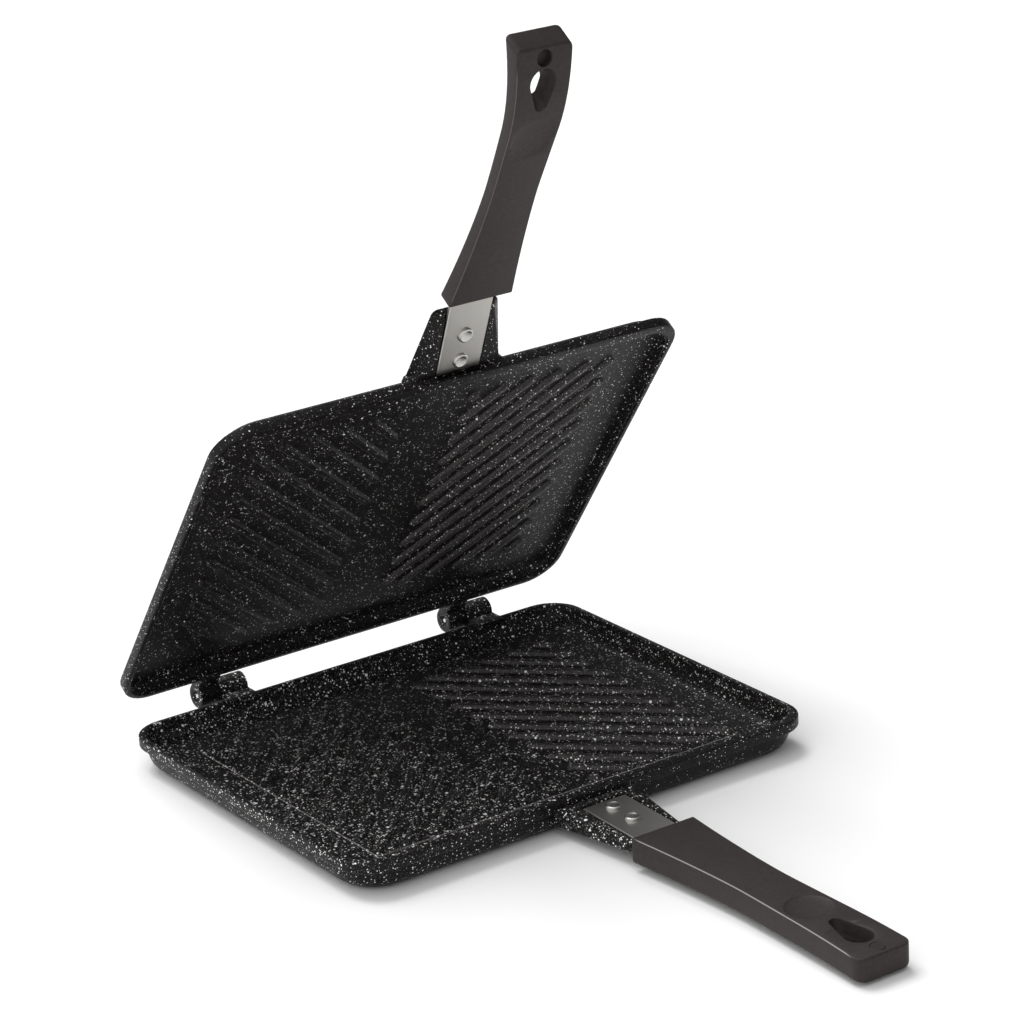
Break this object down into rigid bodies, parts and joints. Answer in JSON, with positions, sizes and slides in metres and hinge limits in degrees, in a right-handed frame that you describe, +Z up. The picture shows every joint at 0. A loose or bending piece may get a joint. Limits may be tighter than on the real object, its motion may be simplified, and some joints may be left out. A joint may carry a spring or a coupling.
{
  "type": "double sided flip pan",
  "caption": "Hinged double sided pan: two rectangular ribbed trays with speckled coating, joined by pin hinges, each with a riveted steel strip and a moulded grip.",
  "frame": {"origin": "middle of the lower pan's outline, on its resting face", "axes": "+Z up, +X along the hinge, +Y from the grips towards the hinge"},
  "size_m": [0.26, 0.4321, 0.3695],
  "materials": {
    "coating": "cast aluminium with a near-black non-stick coating, speckled white and grey",
    "pin_steel": "bright steel pin",
    "strip_steel": "satin stainless steel",
    "rivet_steel": "bright rivet",
    "grip_moulding": "dark phenolic moulding, satin",
    "plug_moulding": "dark phenolic moulding, satin"
  },
  "bodies": {
    "base": {"lower_pan": "coating", "left_hinge_pin": "pin_steel", "right_hinge_pin": "pin_steel", "lower_strip": "strip_steel", "lower_rivets": "rivet_steel", "lower_grip": "grip_moulding", "lower_grip_plug": "plug_moulding"},
    "lid": {"lid_pan": "coating", "lid_strip": "strip_steel", "lid_rivets": "rivet_steel", "lid_grip": "grip_moulding"}
  },
  "joints": [
    {"name": "lid_hinge", "type": "hinge", "parent": "base", "child": "lid", "pos_m": [0, 0.11725, 0.01715], "axis": [-1, 0, 0], "range_deg": [-53.5, 121.5]}
  ]
}
